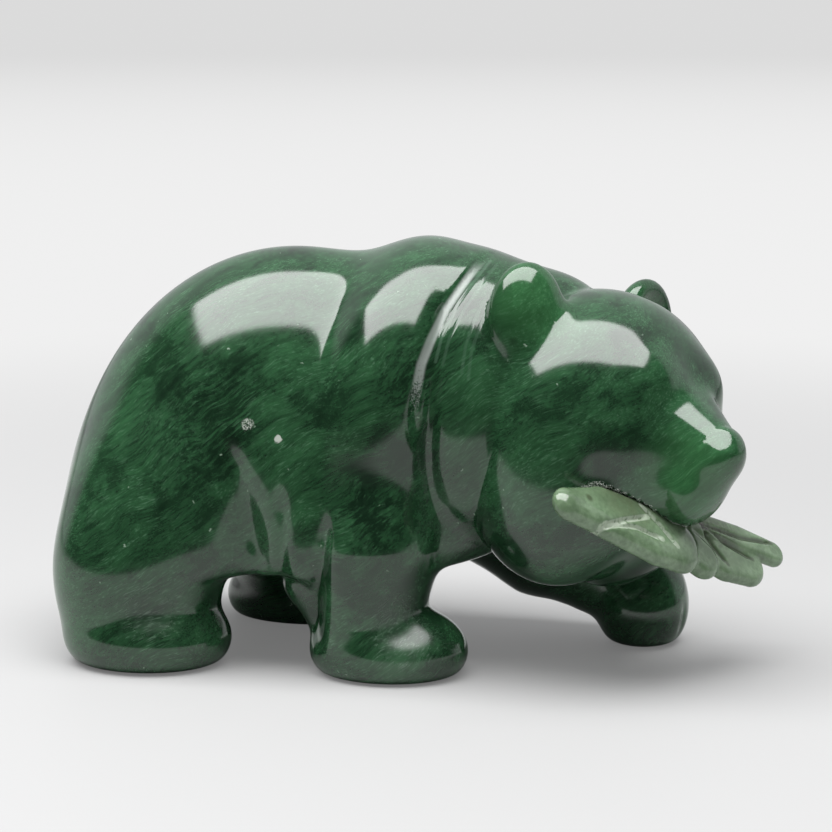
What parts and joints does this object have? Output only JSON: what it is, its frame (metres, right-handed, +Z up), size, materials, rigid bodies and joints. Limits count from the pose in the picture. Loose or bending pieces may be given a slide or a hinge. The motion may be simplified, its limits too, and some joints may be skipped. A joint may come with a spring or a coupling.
{
  "type": "jade bear sculpture",
  "caption": "Polished jade carving of a walking bear that turns its head to its right and holds a flat fish crosswise in its mouth; stands on its own four feet.",
  "frame": {"origin": "on the ground, under the middle of the whole carving's bounding box", "axes": "+X from the rump towards the head, +Y the bear's left side, +Z up"},
  "size_m": [0.1252, 0.0676, 0.0716],
  "materials": {
    "dark_jade": "high polish, dark green nephrite with fine fibres and pale specks",
    "pale_jade": "polish, pale celadon green nephrite, slightly translucent"
  },
  "bodies": {
    "root": {"bear": "dark_jade", "fish": "pale_jade"}
  },
  "joints": []
}
